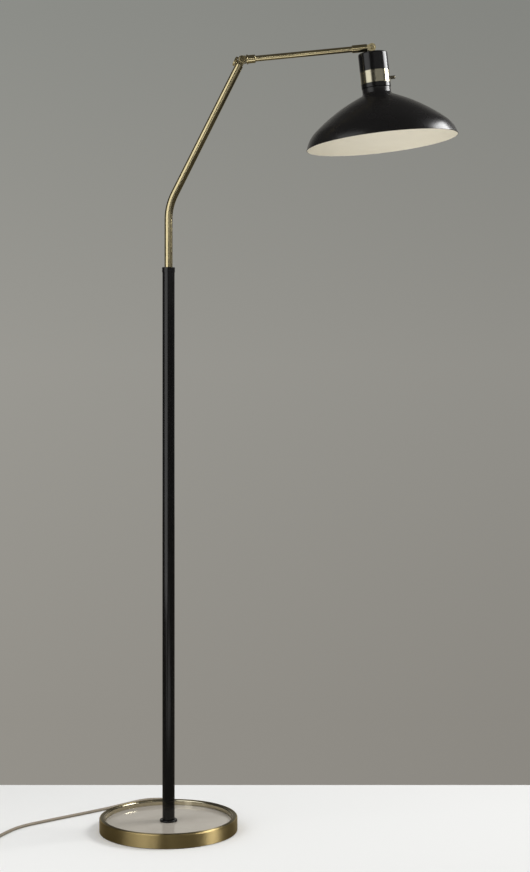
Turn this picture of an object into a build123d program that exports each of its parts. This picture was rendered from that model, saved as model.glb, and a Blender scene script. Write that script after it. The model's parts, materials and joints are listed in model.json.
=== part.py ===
from build123d import *
import os
from math import cos, pi, radians, sin, sqrt, tan

# Task floor lamp: a weighted dish base with a pale inlay, a black pole, a bent brass arm,
# a clamped elbow, a short upper arm, and a bell shade on a tilting head.
# Millimetres. The origin is on the floor at the pole's axis, +Z is up, +X points to the head.

os.makedirs("parts", exist_ok=True)

# Fits
slip = 0.05  # radial clearance of pieces that are fixed together
running = 0.06  # radial clearance of pieces that turn on each other
flat_gap = 0.1  # gap between flat faces that turn on each other

# Base
base_diameter = 280.0
pan_wall = 2.0
skirt_lift = 1.0  # the skirt's edge stands this far above the floor
lip_width = 11.0
lip_round = 3.0  # at the lip's two top edges
recess_depth = 10.0
inlay_thickness = 3.0
inlay_gap = 0.3
inlay_bevel = 0.6
pad_thickness = 2.0
pad_margin = 6.0
plate_thickness = 2.0
plate_gap = 0.5
weight_margin = 6.0
weight_bore = 60.0
slot_gap = 2.5  # beside the cord in the weight's slot
plate_screw_count = 4
plate_screw_circle_diameter = 200.0
plate_screw_angle = 45.0
plate_screw_radius = 2.0
plate_screw_head_radius = 3.6
plate_screw_sink = 90.0
plate_screw_bite = 6.0  # length of the screw inside the weight

# Threaded pipe that clamps the pole to the base
pipe_diameter = 10.0
pipe_wall = 1.5
pipe_grip = 14.0  # length of the pipe inside the pole's insert
pipe_tail = 0.2  # the pipe ends this far below its nut
pipe_washer_diameter = 30.0
pipe_washer_thickness = 1.5
pipe_nut_width = 14.0
pipe_nut_thickness = 4.0

# Pole
pole_diameter = 25.0
pole_wall = 1.5
pole_length = 1116.5
flange_diameter = 35.5
flange_thickness = 4.0
flange_round = 1.5
insert_length = 16.0
cap_wall = 0.75
cap_skirt = 6.0
cap_roof = 4.0
cap_groove_width = 1.2
cap_groove_depth = 0.5
cap_round = 0.8
cap_hole_gap = 0.4
bush_length = 50.0
bush_floor = 4.0
bush_hole = 9.0

# Lower arm
arm_tube_diameter = 16.5
arm_tube_wall = 1.5
bend_rise = 128.5  # corner of the bend above the pole's end
bend_radius = 115.0
arm_lean = 26.7  # degrees from upright
arm_reach = 332.4  # corner of the bend to the elbow's pivot

# Elbow clamp and its thumb knob
plug_length = 16.0
ferrule_thickness = 1.5
eye_radius = 8.0
eye_thickness = 8.0
neck_width = 13.0
neck_floor = 2.0  # neck left below the screw
slit_width = 1.2
slit_floor = 1.0  # neck left whole below the slit
knob_diameter = 20.0
knob_thickness = 4.5
knob_round = 1.0
knob_ear_gap = 0.5
knob_wall = 2.5  # metal between the pin and the screw
knob_hub_diameter = 8.0
knob_hub_gap = 0.3
knob_grooves = 28
knob_groove_radius = 0.5
clamp_screw_diameter = 4.0
clamp_screw_seat = 3.0  # length of the screw inside the knob
clamp_screw_inset = 0.7  # the screw ends this far inside the neck

# Upper arm
upper_tube_diameter = 12.0
upper_tube_wall = 1.0
upper_arm_rise = 5.5  # degrees above level
upper_arm_length = 265.0  # pivot to pivot
washer_thickness = 0.8
ear_thickness = 2.5
pin_round = 1.1
pin_slot_width = 1.4
pin_slot_depth = 1.2
pin_slot_angle = 40.0
fork_round = 0.6

# Elbow fork, pin and nut
elbow_ear_radius = 8.0
eye_clearance = 1.3  # eye to the fork's disc
elbow_root_width = 12.8
elbow_disc_diameter = 20.0
elbow_disc_thickness = 3.0
elbow_collar_diameter = 17.0
elbow_collar_length = 17.7
elbow_bore_floor = 5.2
elbow_pin_diameter = 8.0
elbow_pin_head = 12.5
elbow_pin_head_height = 2.6
elbow_nut_width = 12.0
elbow_nut_thickness = 4.5

# Head fork, pin and nut
tang_radius = 7.0
tang_thickness = 5.0
head_washer_thickness = 0.5
head_ear_radius = 8.0
head_ear_thickness = 2.3
tang_clearance = 3.0  # tang to the sleeve's end
head_root_width = 10.0
head_sleeve_diameter = 16.0
head_sleeve_length = 30.6
head_bore_floor = 5.0
head_pin_diameter = 5.0
head_pin_head = 9.0
head_pin_head_height = 2.2
head_nut_width = 8.0
head_nut_thickness = 4.0

# Head tang and stem
head_lean = 6.2  # degrees, the opening faces a little outwards
knuckle_gap = 0.6  # fork's ears to the shoulder
tang_neck_width = 9.0
shoulder_diameter = 15.0
shoulder_thickness = 3.2
stem_diameter = 10.0
stem_end_gap = 1.0
tang_nut_width = 14.0
tang_nut_thickness = 4.0

# Housing
housing_diameter = 60.0
housing_roof = 2.0
housing_round = 3.0
housing_wall = 1.5
cup_length = 37.5
band_width = 25.5
band_proud = 0.2
band_thickness = 1.5
band_edge = 0.3
lip_ring_width = 8.5

# Shade
shade_diameter = 309.0
shade_neck_diameter = 58.0
shade_wall = 1.0
shade_hole_gap = 0.5
shade_neck_length = 13.8
neck_round = 5.0
bell_length = 97.7  # neck's end to the rim
bell_bulge = 5.2  # the upper bell's arc above its chord
rim_flare = 20.0  # the rim's curve starts this far in from the rim
rim_drop = 33.0  # and this far above it

# Lamp holder and bulb
holder_top = 20.0
holder_flange_gap = 0.65
holder_flange_thickness = 3.0
holder_stem_seat = 9.0
holder_web = 11.0  # seat of the stem to the contact
holder_tail = 2.2
shell_wall = 1.0
shell_gap = 0.8
shell_inset = 8.0
contact_radius = 5.0
contact_thickness = 1.2
ring_gap = 2.0
ring_thickness = 5.3
bulb_cap_diameter = 26.3
bulb_cap_gap = 0.1
bulb_tip_radius = 4.5
bulb_tip_gap = 0.2
bulb_tip_height = 5.0
bulb_radius = 30.0
bulb_neck_angle = 35.0
bulb_wall = 1.0

# Switch
switch_drop = 15.5  # band's upper edge to the switch's axis
switch_room = 7.0  # lamp holder to the cup's wall
switch_width = 14.0
switch_gap = 0.6
switch_neck_diameter = 7.0
switch_shaft_diameter = 3.5
switch_shaft_floor = 1.6
switch_shaft_seat = 5.0
switch_knob_diameter = 7.0
switch_knob_length = 9.7
switch_knob_gap = 0.6
switch_knob_round = 1.2
switch_knob_flutes = 10
switch_flute_radius = 0.5

# Mains lead
cord_diameter = 6.0
cord_floor_gap = 0.2
lead_diameter = 3.0
lead_gap = 0.5
lead_inset = 1.0
cord_inner_start = 112.0  # from the pole's axis
lead_floor_gap = 0.5
lead_roof_gap = 0.3
lead_bend = 4.0
bushing_length = 28.0
bushing_tip_wall = 1.4
bushing_neck_wall = 1.2
bushing_root_step = 1.8  # the root, flange and inner lip stand this far out from the neck
bushing_flange_step = 2.3
bushing_flange_thickness = 2.5
bushing_inner_step = 1.0
bushing_inner_thickness = 1.8
bushing_lift = 0.3

# Coil of the length that is put away
coil_x = -384.0
coil_y = -120.0
coil_radius = 41.0
turn_gap = 0.6
coil_half_turns = 5  # in each of the two layers
coil_floor_gap = 0.1
coil_lead_in = 22.0
tail_length = 48.0
tail_level = 12.0  # level start of the tail
tail_fall = 21.6  # length over which it comes down to the plug
tie_width = 7.0
tie_thickness = 1.2
tie_gap = 0.3
tie_slack = 1.4

# Plug
plug_width = 26.0
plug_height = 16.0
plug_body_length = 26.0
plug_neck_length = 20.0
plug_neck_wall = 1.4
plug_neck_root = 6.5
plug_round = 4.0
plug_lift = 0.2
blade_spacing = 12.7
blade_thickness = 1.5
blade_height = 6.4
blade_length = 17.0
blade_seat = 8.0

# Levels and radii that follow from these
cord_radius = cord_diameter / 2
lead_radius = lead_diameter / 2
lead_hole = lead_radius + lead_gap
plate_top = pad_thickness + plate_thickness
lead_height = plate_top + lead_floor_gap + lead_radius
pipe_foot = lead_height + lead_radius + lead_roof_gap
pipe_nut_foot = pipe_foot + pipe_tail
pipe_nut_top = pipe_nut_foot + pipe_nut_thickness
deck_bottom = pipe_nut_top + pipe_washer_thickness
deck_top = deck_bottom + pan_wall
inlay_top = deck_top + inlay_thickness
base_height = inlay_top + recess_depth
base_radius = base_diameter / 2
lip_shoulder = base_height - lip_round
recess_radius = base_radius - lip_width
weight_radius = base_radius - pan_wall - weight_margin
plate_screw_length = plate_thickness + plate_screw_bite
plate_screw_ring = plate_screw_circle_diameter / 2
pipe_radius = pipe_diameter / 2
pipe_hole = pipe_radius + slip
pole_radius = pole_diameter / 2
pole_bore = pole_radius - pole_wall
pole_foot = inlay_top + flange_thickness
pole_top = pole_foot + pole_length
arm_radius = arm_tube_diameter / 2
arm_foot = pole_top - bush_length + bush_floor + flat_gap
bushing_neck_radius = cord_radius + bushing_neck_wall
bushing_inner_radius = bushing_neck_radius + bushing_inner_step
exit_height = plate_top + bushing_inner_radius + bushing_lift
elbow_pin_radius = elbow_pin_diameter / 2
clamp_screw_radius = clamp_screw_diameter / 2
knob_drop = elbow_pin_radius + knob_wall + clamp_screw_radius  # pivot to the screw's axis
neck_length = knob_drop + clamp_screw_radius + neck_floor
clamp_gap = neck_length + ferrule_thickness  # pivot to the tube's end
elbow_root = eye_radius + eye_clearance  # pivot to the fork's disc
head_root = tang_radius + tang_clearance  # pivot to the sleeve's end
cap_drop = head_ear_radius + knuckle_gap + shoulder_thickness  # pivot to the housing's top

# Distances along the head, from the housing's top
band_start = cup_length
band_end = band_start + band_width
housing_end = band_end + lip_ring_width
neck_end = housing_end + shade_neck_length
rim_depth = neck_end + bell_length
ring_top = housing_end + shade_wall
holder_end = ring_top + ring_thickness + holder_tail
stem_seat = holder_top + holder_stem_seat
stem_length = stem_seat - stem_end_gap
holder_floor = stem_seat + holder_web
shell_start = holder_floor + contact_thickness + shell_gap
shell_end = holder_end - shell_inset
switch_depth = band_start + switch_drop

# Pivots and directions
lean = radians(arm_lean)
rise = radians(upper_arm_rise)
tilt = radians(head_lean)
lower_dir = Vector(sin(lean), 0, cos(lean))
upper_dir = Vector(cos(rise), 0, sin(rise))
head_up = Vector(-sin(tilt), 0, cos(tilt))
bend_corner = Vector(0, 0, pole_top + bend_rise)
elbow = bend_corner + lower_dir * arm_reach
knuckle = elbow + upper_dir * upper_arm_length
head_top = knuckle - head_up * cap_drop


def in_line(point, direction):
    """A plane across a direction that lies in the XZ plane."""
    return Plane(origin=point, x_dir=(direction.Z, 0, -direction.X), z_dir=direction)


def from_front(plane):
    """The same place seen from the front: across is x, along the direction is y."""
    return Plane(origin=plane.origin, x_dir=plane.x_dir, z_dir=(0, -1, 0))


def towards_front(point):
    """A plane at a pivot that faces the front, for pieces on the pivot's axis."""
    return Plane(origin=point, x_dir=(1, 0, 0), z_dir=(0, -1, 0))


lower_end = in_line(elbow, lower_dir)
elbow_socket = in_line(elbow, upper_dir)
head_socket = in_line(knuckle, -upper_dir)
head = in_line(head_top, head_up)
head_profile = from_front(head)
head_axis = Axis(head_top, head_up)
knob_centre = elbow - lower_dir * knob_drop
knob_plane = Plane(origin=knob_centre, x_dir=(0, 1, 0), z_dir=-lower_end.x_dir)
switch_centre = head_top - head_up * switch_depth
switch_plane = Plane(origin=switch_centre, x_dir=(0, 1, 0), z_dir=head.x_dir)

# Felt pad that the lamp stands on
with BuildPart() as base_pad:
    with BuildSketch():
        Circle(base_radius - pad_margin)
    extrude(amount=pad_thickness)

# Steel plate that closes the underside
with BuildPart() as base_plate:
    with BuildSketch(Plane.XY.offset(pad_thickness)):
        Circle(base_radius - pan_wall - plate_gap)
    extrude(amount=plate_thickness)
    with Locations(Plane(origin=(0, 0, pad_thickness), z_dir=(0, 0, -1))):
        with PolarLocations(plate_screw_ring, plate_screw_count, start_angle=plate_screw_angle):
            CounterSinkHole(
                radius=plate_screw_radius + slip,
                counter_sink_radius=plate_screw_head_radius + slip,
                depth=plate_thickness,
                counter_sink_angle=plate_screw_sink,
            )

# Countersunk screws of the plate
with BuildPart() as plate_screws:
    with PolarLocations(plate_screw_ring, plate_screw_count, start_angle=plate_screw_angle):
        with Locations((0, 0, pad_thickness)):
            Cone(
                bottom_radius=plate_screw_head_radius,
                top_radius=plate_screw_radius,
                height=(plate_screw_head_radius - plate_screw_radius) / tan(radians(plate_screw_sink / 2)),
                align=(Align.CENTER, Align.CENTER, Align.MIN),
            )
            Cylinder(
                radius=plate_screw_radius,
                height=plate_screw_length,
                align=(Align.CENTER, Align.CENTER, Align.MIN),
            )

# Slotted cast iron weight
with BuildPart() as base_weight:
    with BuildSketch(Plane.XY.offset(plate_top)):
        Circle(weight_radius)
        Circle(weight_bore / 2, mode=Mode.SUBTRACT)
        with Locations((0, weight_radius)):
            Rectangle(cord_diameter + 2 * slot_gap, 2 * weight_radius, mode=Mode.SUBTRACT)
    extrude(amount=deck_bottom - plate_top)
    with BuildSketch(Plane.XY.offset(plate_top)):
        with PolarLocations(plate_screw_ring, plate_screw_count, start_angle=plate_screw_angle):
            Circle(plate_screw_radius + slip)
    extrude(amount=plate_screw_length, mode=Mode.SUBTRACT)

# Dish with its rounded lip and recess
with BuildPart() as base_pan:
    with BuildSketch(Plane.XZ):
        with BuildLine():
            Line((base_radius, skirt_lift), (base_radius, lip_shoulder))
            TangentArc((base_radius, lip_shoulder), (base_radius - lip_round, base_height), tangent=(0, 1))
            Line((base_radius - lip_round, base_height), (recess_radius + lip_round, base_height))
            TangentArc(
                (recess_radius + lip_round, base_height), (recess_radius, lip_shoulder), tangent=(-1, 0)
            )
            Polyline(
                (recess_radius, lip_shoulder),
                (recess_radius, deck_top),
                (pipe_hole, deck_top),
                (pipe_hole, deck_bottom),
                (recess_radius + pan_wall, deck_bottom),
                (recess_radius + pan_wall, base_height - pan_wall),
                (base_radius - pan_wall, base_height - pan_wall),
                (base_radius - pan_wall, skirt_lift),
                (base_radius, skirt_lift),
            )
        make_face()
    revolve(axis=Axis.Z)
    with BuildSketch(Plane(origin=(0, base_radius, exit_height), z_dir=(0, 1, 0))):
        Circle(bushing_neck_radius + slip)
    extrude(amount=2 * pan_wall, both=True, mode=Mode.SUBTRACT)

# Pale disc lying in the recess
with BuildPart() as base_inlay:
    with BuildSketch(Plane.XY.offset(deck_top)):
        Circle(recess_radius - inlay_gap)
        Circle(pipe_hole, mode=Mode.SUBTRACT)
    extrude(amount=inlay_thickness)
    chamfer(base_inlay.edges().group_by(Axis.Z)[-1].sort_by(SortBy.RADIUS)[-1], length=inlay_bevel)

# Threaded pipe with its washer and nut below the dish
with BuildPart() as lamp_pipe:
    with BuildSketch(Plane.XY.offset(pipe_foot)):
        Circle(pipe_radius)
        Circle(pipe_radius - pipe_wall, mode=Mode.SUBTRACT)
    extrude(amount=pole_foot + pipe_grip - pipe_foot)

with BuildPart() as pipe_washer:
    with BuildSketch(Plane.XY.offset(pipe_nut_top)):
        Circle(pipe_washer_diameter / 2)
        Circle(pipe_hole, mode=Mode.SUBTRACT)
    extrude(amount=pipe_washer_thickness)

with BuildPart() as pipe_nut:
    with BuildSketch(Plane.XY.offset(pipe_nut_foot)):
        RegularPolygon(radius=pipe_nut_width / 2, side_count=6, major_radius=False)
        Circle(pipe_hole, mode=Mode.SUBTRACT)
    extrude(amount=pipe_nut_thickness)

# Foot flange of the pole
with BuildPart() as pole_flange:
    with BuildSketch(Plane.XY.offset(inlay_top)):
        Circle(flange_diameter / 2)
        Circle(pipe_hole, mode=Mode.SUBTRACT)
    extrude(amount=flange_thickness)
    fillet(pole_flange.edges().group_by(Axis.Z)[-1].sort_by(SortBy.RADIUS)[-1], radius=flange_round)

# Threaded plug in the pole's foot
with BuildPart() as pole_insert:
    with BuildSketch(Plane.XY.offset(pole_foot)):
        Circle(pole_bore - slip)
        Circle(pipe_hole, mode=Mode.SUBTRACT)
    extrude(amount=insert_length)

# Pole
with BuildPart() as pole_tube:
    with BuildSketch(Plane.XY.offset(pole_foot)):
        Circle(pole_radius)
        Circle(pole_bore, mode=Mode.SUBTRACT)
    extrude(amount=pole_length)

# Cap ring on the pole's end, with a groove round it
cap_radius = pole_radius + cap_wall
cap_top = pole_top + cap_roof

with BuildPart() as pole_cap:
    with BuildSketch(Plane.XZ):
        with BuildLine():
            Polyline(
                (pole_radius + slip, pole_top),
                (arm_radius + cap_hole_gap, pole_top),
                (arm_radius + cap_hole_gap, cap_top),
                (cap_radius, cap_top),
                (cap_radius, pole_top),
                (cap_radius - cap_groove_depth, pole_top),
                (cap_radius - cap_groove_depth, pole_top - cap_groove_width),
                (cap_radius, pole_top - cap_groove_width),
                (cap_radius, pole_top - cap_skirt),
                (pole_radius + slip, pole_top - cap_skirt),
                close=True,
            )
        make_face()
    revolve(axis=Axis.Z)
    fillet(pole_cap.edges().group_by(Axis.Z)[-1].sort_by(SortBy.RADIUS)[-1], radius=cap_round)

# Plastic bush in which the lower arm turns
with BuildPart() as swivel_bush:
    with BuildSketch(Plane.XY.offset(pole_top - bush_length)):
        Circle(pole_bore - slip)
    extrude(amount=bush_length)
    with BuildSketch(Plane.XY.offset(pole_top - bush_length + bush_floor)):
        Circle(arm_radius + running)
    extrude(amount=bush_length, mode=Mode.SUBTRACT)
    with BuildSketch(Plane.XY.offset(pole_top - bush_length)):
        Circle(bush_hole / 2)
    extrude(amount=bush_floor, mode=Mode.SUBTRACT)

# Bent tube of the lower arm
arm_tube_end = elbow - lower_dir * clamp_gap

with BuildPart() as lower_arm_tube:
    with BuildLine():
        FilletPolyline((0, 0, arm_foot), bend_corner, arm_tube_end, radius=bend_radius)
    with BuildSketch(Plane.XY.offset(arm_foot)):
        Circle(arm_radius)
        Circle(arm_radius - arm_tube_wall, mode=Mode.SUBTRACT)
    sweep()

# Split clamping eye, plugged into the tube's end
clamp_front = from_front(lower_end)
slit_length = neck_length - slit_floor

with BuildPart() as elbow_clamp:
    with BuildSketch(lower_end.offset(-clamp_gap - plug_length)):
        Circle(arm_radius - arm_tube_wall - slip)
    extrude(amount=plug_length)
    with BuildSketch(lower_end.offset(-clamp_gap)):
        Circle(arm_radius)
    extrude(amount=ferrule_thickness)
    with BuildSketch(clamp_front):
        Circle(eye_radius)
        with Locations((0, -neck_length / 2)):
            Rectangle(neck_width, neck_length)
    extrude(amount=eye_thickness / 2, both=True)
    with BuildSketch(clamp_front):
        Circle(elbow_pin_radius + running)
        with Locations((0, -slit_length / 2)):
            Rectangle(slit_width, slit_length)
    extrude(amount=eye_thickness, both=True, mode=Mode.SUBTRACT)
    with BuildSketch(knob_plane):
        Circle(clamp_screw_radius + running)
    extrude(amount=neck_width, both=True, mode=Mode.SUBTRACT)
    with BuildSketch(lower_end.offset(-clamp_gap - plug_length)):
        Circle(lead_hole)
    extrude(amount=plug_length + ferrule_thickness + slit_floor, mode=Mode.SUBTRACT)

# Thumb knob of the clamp, with a grooved rim
knob_face = max(elbow_ear_radius, arm_radius) + knob_ear_gap
knob_radius = knob_diameter / 2
hub_face = neck_width / 2 + knob_hub_gap

with BuildPart() as clamp_knob:
    with BuildSketch(knob_plane.offset(knob_face)):
        Circle(knob_radius)
    extrude(amount=knob_thickness)
    fillet(clamp_knob.edges().filter_by(GeomType.CIRCLE), radius=knob_round)
    with BuildSketch(knob_plane.offset(knob_face)):
        with PolarLocations(knob_radius, knob_grooves):
            Circle(knob_groove_radius)
    extrude(amount=knob_thickness, mode=Mode.SUBTRACT)
    with BuildSketch(knob_plane.offset(hub_face)):
        Circle(knob_hub_diameter / 2)
    extrude(amount=knob_face - hub_face)
    with BuildSketch(knob_plane.offset(hub_face)):
        Circle(clamp_screw_radius + slip)
    extrude(amount=knob_face - hub_face + clamp_screw_seat, mode=Mode.SUBTRACT)

with BuildPart() as clamp_screw:
    with BuildSketch(knob_plane.offset(clamp_screw_inset - neck_width / 2)):
        Circle(clamp_screw_radius)
    extrude(amount=knob_face + clamp_screw_seat + neck_width / 2 - clamp_screw_inset)


def fork(
    plane, ear_radius, ear_inner, ear_outer, root, root_width, disc_radius, disc_thickness,
    sleeve_radius, sleeve_end, tube_start, pin_radius,
):
    """A fork on the end of the upper tube: two ears, a disc and a sleeve, along the plane's normal."""
    front = from_front(plane)
    with BuildPart() as piece:
        with BuildSketch(front):
            Circle(ear_radius)
            with BuildLine():
                Polyline(
                    (-ear_radius, 0),
                    (-root_width / 2, root),
                    (root_width / 2, root),
                    (ear_radius, 0),
                    close=True,
                )
            make_face()
            Circle(pin_radius + slip, mode=Mode.SUBTRACT)
        extrude(amount=ear_outer, both=True)
        with BuildSketch(front):
            with Locations((0, (root - ear_radius) / 2)):
                Rectangle(4 * ear_radius, root + ear_radius)
        extrude(amount=ear_inner, both=True, mode=Mode.SUBTRACT)
        with BuildSketch(plane.offset(root)):
            Circle(disc_radius)
        extrude(amount=disc_thickness)
        with BuildSketch(plane.offset(root)):
            Circle(sleeve_radius)
        extrude(amount=sleeve_end - root)
        rims = piece.edges().filter_by(GeomType.CIRCLE).sort_by(Axis(plane.origin, plane.z_dir))
        disc_rim = rims.filter_by(lambda rim: abs(rim.radius - disc_radius) < slip)[-1]
        sleeve_rim = rims.filter_by(lambda rim: abs(rim.radius - sleeve_radius) < slip)[-1]
        fillet(list({disc_rim, sleeve_rim}), radius=fork_round)
        with BuildSketch(plane.offset(tube_start)):
            Circle(upper_tube_diameter / 2 + slip)
        extrude(amount=sleeve_end - tube_start, mode=Mode.SUBTRACT)
        with BuildSketch(plane.offset(root)):
            Circle(lead_hole)
        extrude(amount=tube_start - root, mode=Mode.SUBTRACT)
    return piece


def pivot_pin(point, radius, head_radius, head_height, ear_outer, nut_thickness):
    """A slotted pin through both ears, its head to the front."""
    front = towards_front(point)
    with BuildPart() as piece:
        with BuildSketch(front.offset(-ear_outer - nut_thickness)):
            Circle(radius)
        extrude(amount=2 * ear_outer + nut_thickness)
        with BuildSketch(front.offset(ear_outer)):
            Circle(head_radius)
        extrude(amount=head_height)
        rim = piece.edges().filter_by(GeomType.CIRCLE).sort_by(Axis.Y)[0]
        fillet(rim, radius=pin_round)
        with BuildSketch(front.offset(ear_outer + head_height)):
            Rectangle(2 * head_radius, pin_slot_width, rotation=pin_slot_angle)
        extrude(amount=-pin_slot_depth, mode=Mode.SUBTRACT)
    return piece


def pivot_nut(point, pin_radius, width, thickness, ear_outer):
    """The nut on the pin, behind the rear ear."""
    with BuildPart() as piece:
        with BuildSketch(towards_front(point).offset(-ear_outer - thickness)):
            RegularPolygon(radius=width / 2, side_count=6, major_radius=False)
            Circle(pin_radius + slip, mode=Mode.SUBTRACT)
        extrude(amount=thickness)
    return piece


def pivot_washers(point, pin_radius, outer_radius, inner_face, thickness):
    """The pair of thin washers between the eye and the ears."""
    front = towards_front(point)
    with BuildPart() as piece:
        for start in (inner_face, -inner_face - thickness):
            with BuildSketch(front.offset(start)):
                Circle(outer_radius)
                Circle(pin_radius + slip, mode=Mode.SUBTRACT)
            extrude(amount=thickness)
    return piece


# Elbow fork with its pivot
elbow_bore_start = elbow_root + elbow_bore_floor
elbow_washer_face = eye_thickness / 2 + flat_gap
elbow_ear_inner = elbow_washer_face + washer_thickness
elbow_ear_outer = elbow_ear_inner + ear_thickness
elbow_fork = fork(
    plane=elbow_socket,
    ear_radius=elbow_ear_radius,
    ear_inner=elbow_ear_inner,
    ear_outer=elbow_ear_outer,
    root=elbow_root,
    root_width=elbow_root_width,
    disc_radius=elbow_disc_diameter / 2,
    disc_thickness=elbow_disc_thickness,
    sleeve_radius=elbow_collar_diameter / 2,
    sleeve_end=elbow_root + elbow_collar_length,
    tube_start=elbow_bore_start,
    pin_radius=elbow_pin_radius,
)
elbow_pin = pivot_pin(
    elbow, elbow_pin_radius, elbow_pin_head / 2, elbow_pin_head_height, elbow_ear_outer, elbow_nut_thickness
)
elbow_nut = pivot_nut(elbow, elbow_pin_radius, elbow_nut_width, elbow_nut_thickness, elbow_ear_outer)
elbow_washers = pivot_washers(
    elbow, elbow_pin_radius, elbow_ear_radius, elbow_washer_face, washer_thickness
)

# Thin tube of the upper arm
head_bore_start = head_root + head_bore_floor

with BuildPart() as upper_arm_tube:
    with BuildSketch(elbow_socket.offset(elbow_bore_start)):
        Circle(upper_tube_diameter / 2)
        Circle(upper_tube_diameter / 2 - upper_tube_wall, mode=Mode.SUBTRACT)
    extrude(amount=upper_arm_length - head_bore_start - elbow_bore_start)

# Head fork with its long sleeve and pivot
head_pin_radius = head_pin_diameter / 2
head_washer_face = tang_thickness / 2 + flat_gap
head_ear_inner = head_washer_face + head_washer_thickness
head_ear_outer = head_ear_inner + head_ear_thickness
head_fork = fork(
    plane=head_socket,
    ear_radius=head_ear_radius,
    ear_inner=head_ear_inner,
    ear_outer=head_ear_outer,
    root=head_root,
    root_width=head_root_width,
    disc_radius=head_sleeve_diameter / 2,
    disc_thickness=head_sleeve_length,
    sleeve_radius=head_sleeve_diameter / 2,
    sleeve_end=head_root + head_sleeve_length,
    tube_start=head_bore_start,
    pin_radius=head_pin_radius,
)
head_pin = pivot_pin(
    knuckle, head_pin_radius, head_pin_head / 2, head_pin_head_height, head_ear_outer, head_nut_thickness
)
head_nut = pivot_nut(knuckle, head_pin_radius, head_nut_width, head_nut_thickness, head_ear_outer)
head_washers = pivot_washers(
    knuckle, head_pin_radius, tang_radius, head_washer_face, head_washer_thickness
)

# Tang of the head with its hollow threaded stem
stem_radius = stem_diameter / 2

with BuildPart() as head_tang:
    with BuildSketch(from_front(in_line(knuckle, head_up))):
        Circle(tang_radius)
        with Locations((0, -cap_drop / 2)):
            Rectangle(tang_neck_width, cap_drop)
        Circle(head_pin_radius + running, mode=Mode.SUBTRACT)
    extrude(amount=tang_thickness / 2, both=True)
    with BuildSketch(head):
        Circle(shoulder_diameter / 2)
    extrude(amount=shoulder_thickness)
    with BuildSketch(head.offset(-stem_length)):
        Circle(stem_radius)
    extrude(amount=stem_length)
    with BuildSketch(head.offset(-stem_length)):
        Circle(lead_hole)
    extrude(amount=stem_length, mode=Mode.SUBTRACT)

with BuildPart() as tang_nut:
    with BuildSketch(head.offset(-housing_roof - tang_nut_thickness)):
        RegularPolygon(radius=tang_nut_width / 2, side_count=6, major_radius=False)
        Circle(stem_radius + slip, mode=Mode.SUBTRACT)
    extrude(amount=tang_nut_thickness)

# Housing cup, stepped for the band and the ring below it
housing_radius = housing_diameter / 2
band_radius = housing_radius + band_proud
step_radius = band_radius - band_thickness - slip
housing_bore = step_radius - housing_wall
holder_radius = housing_bore - switch_room
switch_hole = switch_neck_diameter / 2 + slip

with BuildPart() as housing_cup:
    with BuildSketch(head_profile):
        with BuildLine():
            Polyline(
                (stem_radius + slip, 0),
                (housing_radius, 0),
                (housing_radius, -band_start),
                (step_radius, -band_start),
                (step_radius, -housing_end),
                (housing_bore, -housing_end),
                (housing_bore, -housing_roof),
                (stem_radius + slip, -housing_roof),
                close=True,
            )
        make_face()
    revolve(axis=head_axis)
    top_rim = housing_cup.edges().filter_by(GeomType.CIRCLE).group_by(SortBy.RADIUS)[-1]
    fillet(top_rim.sort_by(head_axis)[-1], radius=housing_round)
    with BuildSketch(switch_plane):
        Circle(switch_hole)
    extrude(amount=2 * housing_radius, mode=Mode.SUBTRACT)

# Brass band
with BuildPart() as brass_band:
    with BuildSketch(head.offset(-band_end)):
        Circle(band_radius)
        Circle(step_radius + slip, mode=Mode.SUBTRACT)
    extrude(amount=band_end - band_start)
    chamfer(brass_band.edges().filter_by(GeomType.CIRCLE).group_by(SortBy.RADIUS)[-1], length=band_edge)
    with BuildSketch(switch_plane):
        Circle(switch_hole)
    extrude(amount=2 * housing_radius, mode=Mode.SUBTRACT)

# Black ring below the band
with BuildPart() as lip_ring:
    with BuildSketch(head.offset(-housing_end)):
        Circle(housing_radius)
        Circle(step_radius + slip, mode=Mode.SUBTRACT)
    extrude(amount=housing_end - band_end)
    chamfer(lip_ring.edges().filter_by(GeomType.CIRCLE).group_by(SortBy.RADIUS)[-1], length=band_edge)

# Bell shade with the web that is clamped under the housing
shade_neck_radius = shade_neck_diameter / 2
shade_radius = shade_diameter / 2
bell_start = Vector(shade_neck_radius, -neck_end)
bell_corner = Vector(shade_radius - rim_flare, rim_drop - rim_depth)
bell_chord = (bell_corner - bell_start).normalized()
bell_middle = (bell_start + bell_corner) / 2 + Vector(-bell_chord.Y, bell_chord.X) * bell_bulge

with BuildPart() as shade:
    with BuildSketch(head_profile):
        with BuildLine() as shade_line:
            web = Line((holder_radius + shade_hole_gap, -housing_end), (shade_neck_radius, -housing_end))
            Line(web @ 1, bell_start)
            bell = ThreePointArc(bell_start, bell_middle, bell_corner)
            TangentArc(bell_corner, (shade_radius, -rim_depth), tangent=bell % 1)
            fillet(shade_line.vertices().sort_by_distance(bell_start)[0], radius=neck_round)
            offset(amount=shade_wall, side=Side.RIGHT)
        make_face()
    revolve(axis=head_axis)

# Ring that clamps the shade to the lamp holder
with BuildPart() as shade_ring:
    with BuildSketch(head.offset(-ring_top - ring_thickness)):
        Circle(shade_neck_radius - shade_wall - ring_gap)
        Circle(holder_radius + slip, mode=Mode.SUBTRACT)
    extrude(amount=ring_thickness)

# Lamp holder
bulb_cap_radius = bulb_cap_diameter / 2
shell_bore = bulb_cap_radius + bulb_cap_gap
holder_bore = shell_bore + shell_wall + slip
flange_radius = housing_bore - holder_flange_gap

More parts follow.
